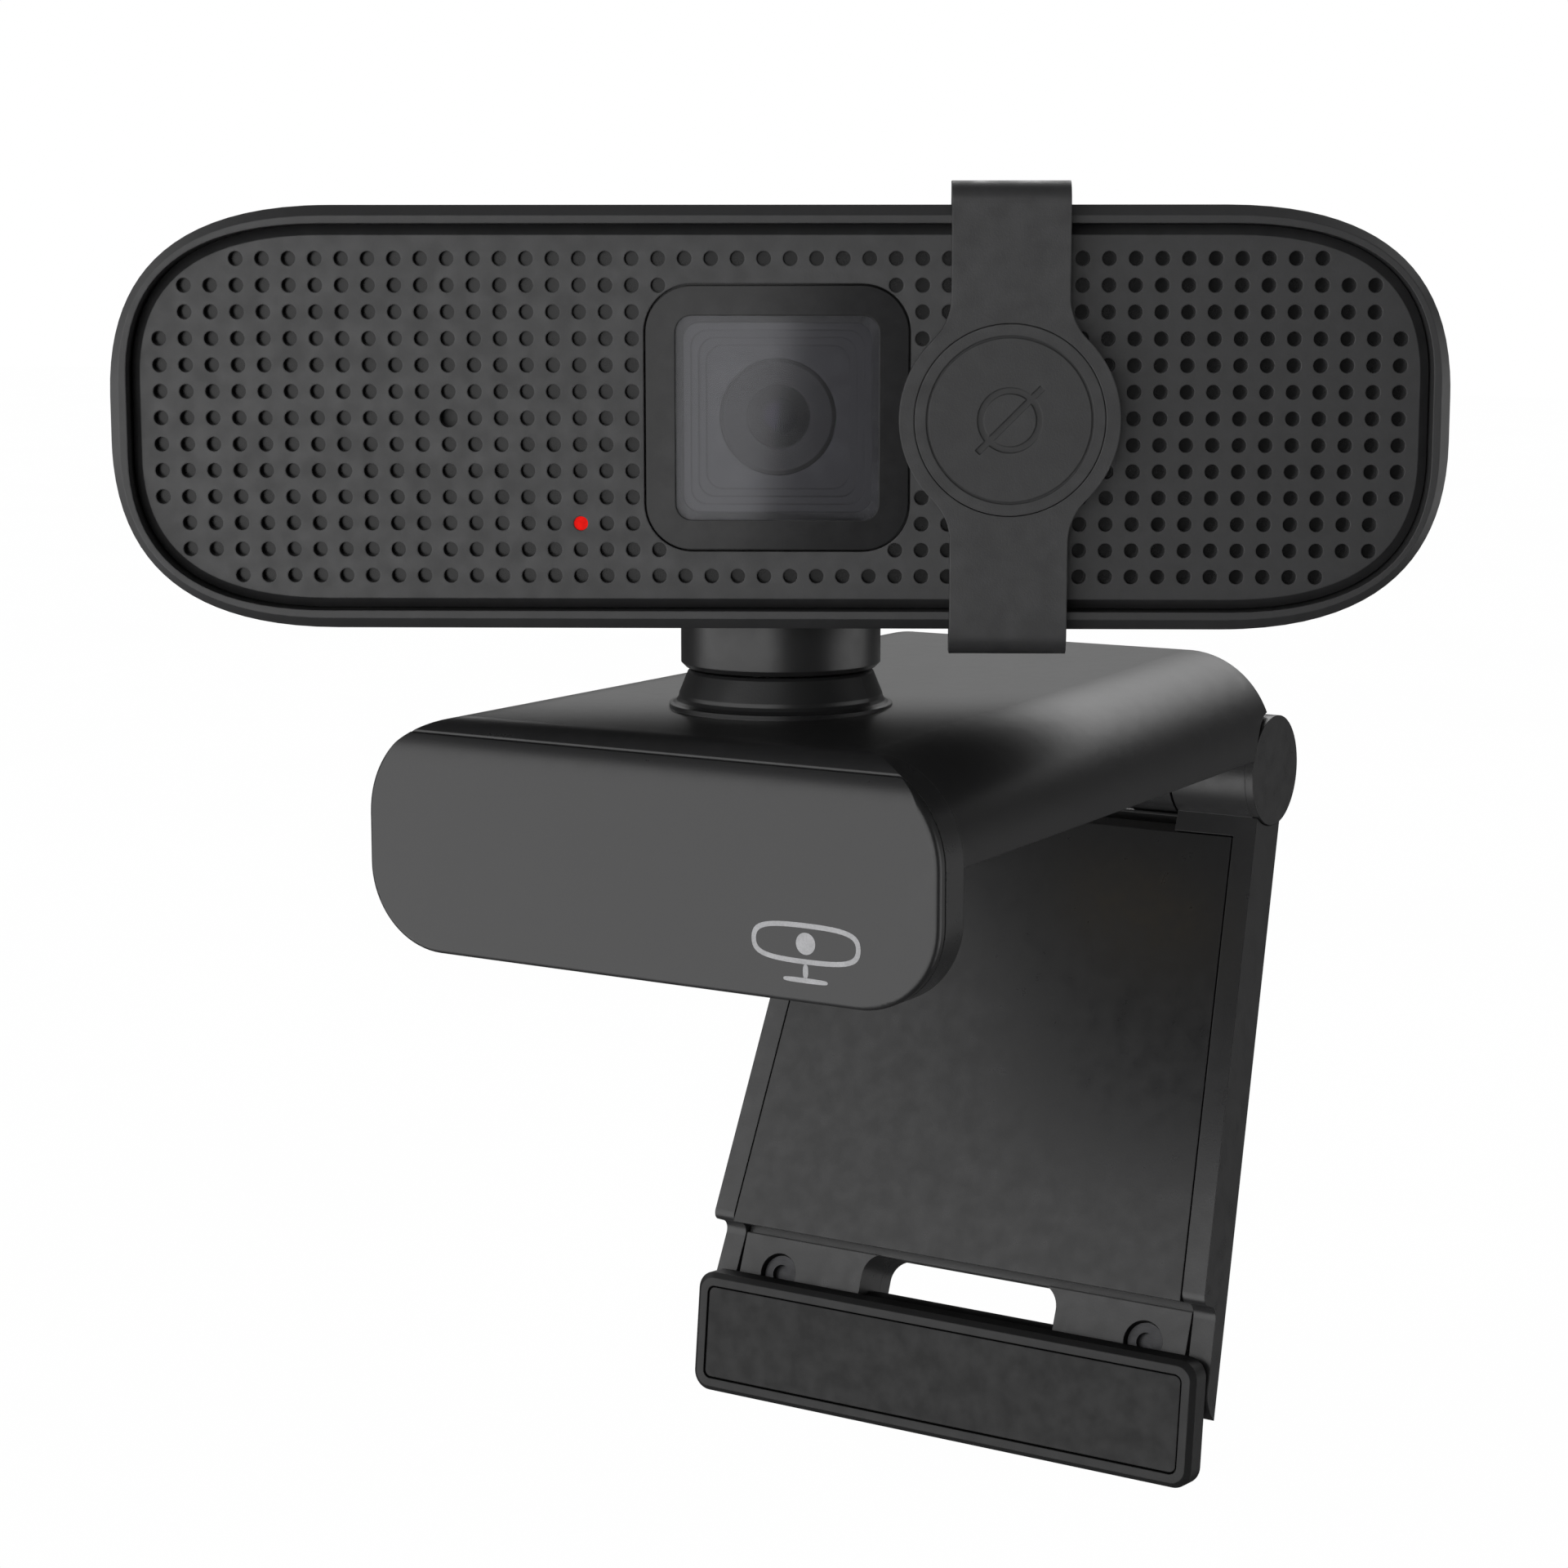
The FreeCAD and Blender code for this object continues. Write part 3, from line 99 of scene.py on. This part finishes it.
OWN_FINISH = {                     # pieces that finish their slot's plastic in their own way
    "grille_backing": {"tone": 0.008, "rough": 0.22, "grain": 0.10, "relief": 0.002, "ior": 1.38},
    "lens_bezel": {"tone": 0.020, "rough": 0.09, "grain": 0.10, "relief": 0.001, "ior": 1.34},
    "lens_baffle": {"tone": 0.125, "rough": 0.22, "grain": 0.10, "relief": 0.001, "ior": 1.34},
    "lens_barrel": {"tone": 0.040, "rough": 0.22, "grain": 0.10, "relief": 0.001, "ior": 1.34},
    "lens_retainer": {"tone": 0.012, "rough": 0.20, "grain": 0.10, "relief": 0.001, "ior": 1.34},
    "foot_plate": {"tone": 0.010, "rough": 0.50, "grain": 0.14, "relief": 0.004, "ior": 1.38},
}
METALS = {
    "screw_steel": {"colour": (0.46, 0.46, 0.47), "rough": 0.26},
    "screw_black": {"colour": (0.05, 0.05, 0.052), "rough": 0.38},
    "steel": {"colour": (0.52, 0.52, 0.53), "rough": 0.32},
    "brass": {"colour": (0.70, 0.50, 0.20), "rough": 0.28},
}
NOISE = (0.3, 0.7)                 # most of a noise texture's values lie between these
EDGE_ROUND = 0.12                  # how softly a moulded edge catches the light, millimetres
PATCH_SIZE = 9.0                   # a moulding's broad, faint mottling, millimetres
RUB_SIZE = 1.6                     # the places where handling has polished it, millimetres
SHARP_EDGE = (0.52, 0.62)          # the pointiness of an edge that wears
GLASS_EDGE = 0.45                  # rounding of the window's edge, millimetres


class Paint:
    """A material's node tree, with short ways to add to it."""

    def __init__(self, name):
        self.material = bpy.data.materials.new(name)
        self.material.use_nodes = True
        self.tree = self.material.node_tree
        self.tree.nodes.clear()
        self.spot = self.add("ShaderNodeTexCoord").outputs["Object"]

    def add(self, kind, inputs=None, **settings):
        node = self.tree.nodes.new(kind)
        for key, value in settings.items():
            setattr(node, key, value)
        for key, value in (inputs or {}).items():
            if isinstance(value, bpy.types.NodeSocket):
                self.tree.links.new(value, node.inputs[key])
            else:
                node.inputs[key].default_value = value
        return node

    def math(self, operation, a, b=0.0):
        return self.add("ShaderNodeMath", {0: a, 1: b}, operation=operation).outputs[0]

    def noise(self, size, detail=2.0, spot=None):
        """Noise whose features are about size millimetres across."""
        inputs = {"Vector": spot or self.spot, "Scale": 1.0 / (size * MM), "Detail": detail}
        return self.add("ShaderNodeTexNoise", inputs).outputs["Fac"]

    def span(self, value, low, high, to_low=0.0, to_high=1.0):
        inputs = {"Value": value, "From Min": low, "From Max": high, "To Min": to_low, "To Max": to_high}
        return self.add("ShaderNodeMapRange", inputs).outputs["Result"]

    def blend(self, fac, a, b):
        node = self.add("ShaderNodeMix", {0: fac, 6: a, 7: b}, data_type="RGBA")
        return node.outputs[2]

    def finish(self, shader):
        output = self.add("ShaderNodeOutputMaterial")
        self.tree.links.new(shader.outputs[0], output.inputs["Surface"])
        return self.material


def grey(value, tint=1.03):
    return (value, value, value * tint, 1.0)


def moulded(name, tone, rough, grain, relief, ior=1.5):
    """Fine-grained moulded plastic or rubber: mottled, a little polished and paler on its edges."""
    p = Paint(name)
    grit = p.noise(grain, 3.0)
    patches = p.noise(PATCH_SIZE, 2.0)
    rubbed = p.noise(RUB_SIZE, 4.0)
    edges = p.span(p.add("ShaderNodeNewGeometry").outputs["Pointiness"], *SHARP_EDGE)
    worn = p.math("MULTIPLY", edges, p.span(rubbed, 0.35, 0.7))
    shade = p.math("ADD", p.span(grit, *NOISE, 0.0, 0.7), p.span(patches, *NOISE, 0.0, 0.3))
    colour = p.blend(shade, grey(tone * 0.92), grey(tone * 1.08))
    colour = p.blend(p.math("MULTIPLY", worn, 0.5), colour, grey(tone * 1.9))
    smooth = p.span(rubbed, *NOISE, rough * 1.03, rough * 0.97)
    smooth = p.math("SUBTRACT", smooth, p.math("MULTIPLY", worn, rough * 0.25))
    smooth = p.math("ADD", smooth, p.span(grit, *NOISE, rough * -0.03, rough * 0.03))
    soft_edge = p.add("ShaderNodeBevel", {"Radius": EDGE_ROUND * MM}, samples=4).outputs["Normal"]
    bump = p.add("ShaderNodeBump", {"Height": grit, "Distance": relief * MM, "Normal": soft_edge})
    shader = {"Base Color": colour, "Roughness": smooth, "IOR": ior, "Normal": bump.outputs["Normal"]}
    return p.finish(p.add("ShaderNodeBsdfPrincipled", shader))


def metal(name, colour, rough):
    """Turned and brushed metal: fine streaks, small stains."""
    p = Paint(name)
    streaks_spot = p.add("ShaderNodeMapping", {"Vector": p.spot, "Scale": (0.08, 1.0, 1.0)}).outputs[0]
    streaks = p.noise(0.06, 3.0, streaks_spot)
    stains = p.noise(0.9, 5.0)
    dark = tuple(c * 0.72 for c in colour) + (1.0,)
    bright = tuple(min(1.0, c * 1.15) for c in colour) + (1.0,)
    tone = p.math("ADD", p.span(streaks, *NOISE, 0.0, 0.6), p.span(stains, *NOISE, 0.0, 0.4))
    smooth = p.span(stains, *NOISE, rough - 0.06, rough + 0.1)
    bump = p.add("ShaderNodeBump", {"Height": streaks, "Distance": 0.002 * MM})
    shader = {"Base Color": p.blend(tone, dark, bright), "Metallic": 1.0, "Roughness": smooth,
              "Normal": bump.outputs["Normal"]}
    return p.finish(p.add("ShaderNodeBsdfPrincipled", shader))


def board_green():
    """Solder mask with faint copper tracks and pads under it."""
    p = Paint("board_green")
    tracks = p.add("ShaderNodeTexBrick", {"Vector": p.spot, "Scale": 240.0, "Mortar Size": 0.06})
    tracks = tracks.outputs["Fac"]
    cells = p.add("ShaderNodeTexVoronoi", {"Vector": p.spot, "Scale": 420.0}).outputs["Distance"]
    pads = p.span(cells, 0.16, 0.12)
    haze = p.noise(0.8, 4.0)
    colour = p.blend(tracks, (0.012, 0.09, 0.035, 1.0), (0.03, 0.19, 0.07, 1.0))
    colour = p.blend(pads, colour, (0.55, 0.5, 0.38, 1.0))
    bump = p.add("ShaderNodeBump", {"Height": p.math("ADD", tracks, pads), "Distance": 0.03 * MM})
    shader = {"Base Color": colour, "Roughness": p.span(haze, *NOISE, 0.25, 0.4),
              "Normal": bump.outputs["Normal"]}
    return p.finish(p.add("ShaderNodeBsdfPrincipled", shader))


def window_glass():
    """Clear, slightly grey flat glass with polished, rounded edges and a trace of haze."""
    p = Paint("window_glass")
    rounded = p.add("ShaderNodeBevel", {"Radius": GLASS_EDGE * MM}, samples=8).outputs["Normal"]
    haze = p.noise(2.2, 5.0)
    rough = p.span(haze, *NOISE, 0.04, 0.06)
    gloss = p.add("ShaderNodeBsdfAnisotropic", {"Color": grey(1.0), "Roughness": rough, "Normal": rounded})
    clear = p.add("ShaderNodeBsdfTransparent", {"Color": grey(0.82)})
    film = p.add("ShaderNodeBsdfDiffuse", {"Color": p.blend(haze, grey(0.16, 1.0), grey(0.19, 1.0))})
    body = p.add("ShaderNodeMixShader", {0: 0.08, 1: clear.outputs[0], 2: film.outputs[0]})
    mirror = p.add("ShaderNodeFresnel", {"IOR": 1.40, "Normal": rounded}).outputs[0]
    return p.finish(p.add("ShaderNodeMixShader", {0: mirror, 1: body.outputs[0], 2: gloss.outputs[0]}))


def lens_glass():
    """Coated lens glass: dark inside, with a violet and green sheen."""
    p = Paint("lens_glass")
    facing = p.add("ShaderNodeLayerWeight", {"Blend": 0.35}).outputs["Facing"]
    swirl = p.noise(0.9, 3.0)
    sheen = p.blend(p.math("ADD", facing, p.span(swirl, *NOISE, -0.1, 0.1)),
                    (0.30, 0.22, 0.48, 1.0), (0.20, 0.42, 0.32, 1.0))
    rough = p.span(swirl, *NOISE, 0.03, 0.09)
    gloss = p.add("ShaderNodeBsdfAnisotropic", {"Color": sheen, "Roughness": rough})
    deep = p.add("ShaderNodeBsdfDiffuse", {"Color": p.blend(facing, grey(0.006, 1.6), grey(0.02, 1.3))})
    mirror = p.add("ShaderNodeFresnel", {"IOR": 1.6}).outputs[0]
    return p.finish(p.add("ShaderNodeMixShader", {0: mirror, 1: deep.outputs[0], 2: gloss.outputs[0]}))


def led_red():
    """Tinted clear plastic, lit from behind."""
    p = Paint("led_red")
    cloud = p.noise(0.35, 3.0)
    glow = p.blend(cloud, (1.0, 0.003, 0.002, 1.0), (1.0, 0.012, 0.008, 1.0))
    shader = {"Base Color": p.blend(cloud, (0.3, 0.004, 0.002, 1.0), (0.5, 0.01, 0.006, 1.0)),
              "Roughness": p.span(cloud, *NOISE, 0.4, 0.55), "IOR": 1.15,
              "Emission Color": glow, "Emission Strength": p.span(cloud, *NOISE, 0.42, 0.58)}
    return p.finish(p.add("ShaderNodeBsdfPrincipled", shader))


def print_ink():
    """Pale grey ink, thinly laid, so that the grain below shows through."""
    p = Paint("print_ink")
    grit = p.noise(0.13, 3.0)
    thin = p.noise(1.1, 4.0)
    colour = p.blend(p.math("ADD", p.span(grit, *NOISE, 0.0, 0.5), p.span(thin, *NOISE, 0.0, 0.5)),
                     grey(0.30), grey(0.46))
    bump = p.add("ShaderNodeBump", {"Height": grit, "Distance": 0.008 * MM})
    shader = {"Base Color": colour, "Roughness": p.span(thin, *NOISE, 0.45, 0.6),
              "Normal": bump.outputs["Normal"]}
    return p.finish(p.add("ShaderNodeBsdfPrincipled", shader))


def paint_all():
    paint = {name: moulded(name, **finish) for name, finish in PLASTICS.items()}
    paint.update({name: metal(name, **finish) for name, finish in METALS.items()})
    for make in (board_green, window_glass, lens_glass, led_red):
        paint[make.__name__] = make()
    for part in frame["record"]["subparts"]:
        mesh = frame["nodes"][part["node"]].data
        mesh.materials.clear()
        own = OWN_FINISH.get(part["node"])
        mesh.materials.append(moulded(part["node"], **own) if own else paint[part["material_slot"]])


# ---- the printed mark ---------------------------------------------------------------------------

ROUND_HANDLE = 0.5523              # the handle length that makes a Bezier curve a true circle


def oval(curve, x, z, half_w, half_h, square=1.0):
    """A closed round outline in a flat curve; square above 1 makes it a rounded rectangle."""
    handle = ROUND_HANDLE * square
    spline = curve.splines.new("BEZIER")
    spline.bezier_points.add(3)
    ring = [(1, 0), (0, 1), (-1, 0), (0, -1)]
    for point, (cx, cz) in zip(spline.bezier_points, ring):
        at = Vector((x + cx * half_w, z + cz * half_h, 0))
        along = Vector((-cz * handle * half_w, cx * handle * half_h, 0))
        point.handle_left_type = point.handle_right_type = "FREE"
        point.co, point.handle_left, point.handle_right = at, at - along, at + along
    spline.use_cyclic_u = True


MARK_ACROSS = 0.785                # its place on the plate, as parts of the plate's width and height
MARK_UP = 0.26
MARK_LINE = 0.36 * MM
MARK_SIZE = (4.4 * MM, 1.45 * MM)  # half the width and height of the camera in the picture
MARK_LENS = 0.78 * MM
INK_DEPTH = 0.012 * MM


def printed_mark():
    """A small picture of a webcam, printed on the clip's front plate."""
    low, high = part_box("clip_front_plate")
    centre = Vector((low.x + MARK_ACROSS * (high.x - low.x), low.y - INK_DEPTH,
                     low.z + MARK_UP * (high.z - low.z)))
    curve = bpy.data.curves.new("printed_mark", "CURVE")
    curve.dimensions = "2D"
    curve.fill_mode = "FRONT"
    half_w, half_h = MARK_SIZE
    for inset in (0.0, MARK_LINE):
        oval(curve, 0, 0, half_w - inset, half_h - inset, square=1.45)
    oval(curve, 0, 0, MARK_LENS, MARK_LENS)
    stalk_h, base_half_w = 1.0 * MM, 1.8 * MM
    oval(curve, 0, -half_h - stalk_h - 0.15 * MM, base_half_w, MARK_LINE * 0.5, square=1.6)
    oval(curve, 0, -half_h - stalk_h / 2, MARK_LINE * 0.6, stalk_h / 2, square=1.3)
    flat = bpy.data.objects.new("flat", curve)
    mark = bpy.data.objects.new("printed_mark", bpy.data.meshes.new_from_object(flat))
    bpy.data.objects.remove(flat)
    for vertex in mark.data.vertices:
        vertex.co = centre + Vector((vertex.co.x, 0.0, vertex.co.y))
    bpy.context.scene.collection.objects.link(mark)
    mark.data.materials.clear()
    mark.data.materials.append(print_ink())
    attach(mark, "clip")


# ---- the studio ---------------------------------------------------------------------------------

def studio():
    """Soft light from the front left, from high behind and from the right; the camera sees white."""
    world = bpy.data.worlds.new("studio")
    bpy.context.scene.world = world
    world.use_nodes = True
    tree = world.node_tree
    tree.nodes.clear()

    def add(kind, inputs, **settings):
        node = tree.nodes.new(kind)
        for key, value in settings.items():
            setattr(node, key, value)
        for key, value in inputs.items():
            if isinstance(value, bpy.types.NodeSocket):
                tree.links.new(value, node.inputs[key])
            else:
                node.inputs[key].default_value = value
        return node

    def along(direction):
        node = add("ShaderNodeVectorMath", {0: sight, 1: direction}, operation="DOT_PRODUCT")
        return node.outputs["Value"]

    def ramp(value, span, low=0.0, high=1.0):
        inputs = {"Value": value, "From Min": span[0], "From Max": span[1], "To Min": low, "To Max": high}
        return add("ShaderNodeMapRange", inputs, interpolation_type="SMOOTHSTEP").outputs["Result"]

    def both(operation, a, b):
        return add("ShaderNodeMath", {0: a, 1: b}, operation=operation).outputs[0]

    sight = add("ShaderNodeTexCoord", {}).outputs["Generated"]
    side = (math.cos(SOFTBOX_EDGE), math.sin(SOFTBOX_EDGE), -SOFTBOX_LEAN)
    towards = (math.sin(SOFTBOX_EDGE), -math.cos(SOFTBOX_EDGE), 0.0)
    level = math.sin(ELEVATION) * SOFTBOX_LEAN
    height = along((0.0, 0.0, 1.0))
    left = ramp(along(side), (level + SOFTBOX_FADE, level - SOFTBOX_FADE), high=SOFTBOX)
    left = both("MULTIPLY", left, ramp(along(towards), SOFTBOX_TURN))
    left = both("MULTIPLY", left, ramp(height, SOFTBOX_TOP))
    left = both("MULTIPLY", left, ramp(height, SOFTBOX_FOOT))
    behind = ramp(along(towards), BACK_TURN, high=BACK_LIGHT)
    behind = both("MULTIPLY", behind, ramp(height, BACK_HEIGHT))
    strip = ramp(along(side), STRIP_TURN, high=STRIP_LIGHT)
    above = ramp(height, SKY_HEIGHT, AMBIENT, SKY_LIGHT)
    total = both("ADD", both("ADD", left, behind), both("ADD", strip, above))
    lighting = add("ShaderNodeBackground", {"Color": (1.0, 1.0, 1.0, 1.0), "Strength": total})
    white = add("ShaderNodeBackground", {"Color": (1.0, 1.0, 1.0, 1.0), "Strength": 1.0})
    seen = add("ShaderNodeLightPath", {}).outputs["Is Camera Ray"]
    mixed = add("ShaderNodeMixShader", {0: seen, 1: lighting.outputs[0], 2: white.outputs[0]})
    output = tree.nodes.new("ShaderNodeOutputWorld")
    tree.links.new(mixed.outputs[0], output.inputs["Surface"])


FLOOR_SIZE = 3.0                   # half its width
FLOOR_DROP = 0.03                  # its distance below the foot


def floor():
    """A plain white floor well below the webcam, which hangs as if from a screen."""
    size, low = FLOOR_SIZE, cad_bounds[0].z - FLOOR_DROP
    corners = [(-size, -size, low), (size, -size, low), (size, size, low), (-size, size, low)]
    mesh = bpy.data.meshes.new("floor")
    mesh.from_pydata(corners, [], [(0, 1, 2, 3)])
    ground = bpy.data.objects.new("floor", mesh)
    bpy.context.scene.collection.objects.link(ground)
    p = Paint("floor_white")
    cloud = p.noise(90.0, 3.0)
    glow = p.add("ShaderNodeEmission", {"Color": p.blend(cloud, grey(0.99, 1.0), grey(1.0, 1.0)),
                                        "Strength": 1.0})
    mesh.materials.append(p.finish(glow))
    ground.visible_diffuse = False
    ground.visible_glossy = False
    ground.visible_shadow = False


def camera():
    data = bpy.data.cameras.new("camera")
    data.lens = LENS
    data.sensor_width = SENSOR
    data.clip_start = 0.01
    eye = bpy.data.objects.new("camera", data)
    forward = Vector((-math.sin(AZIMUTH) * math.cos(ELEVATION), math.cos(AZIMUTH) * math.cos(ELEVATION),
                      -math.sin(ELEVATION)))
    eye.location = AIM - forward * DISTANCE
    eye.rotation_mode = "QUATERNION"
    eye.rotation_quaternion = forward.to_track_quat("-Z", "Y")
    bpy.context.scene.collection.objects.link(eye)
    bpy.context.scene.camera = eye


paint_all()
printed_mark()
studio()
floor()
camera()
bpy.context.scene.view_settings.view_transform = "Standard"
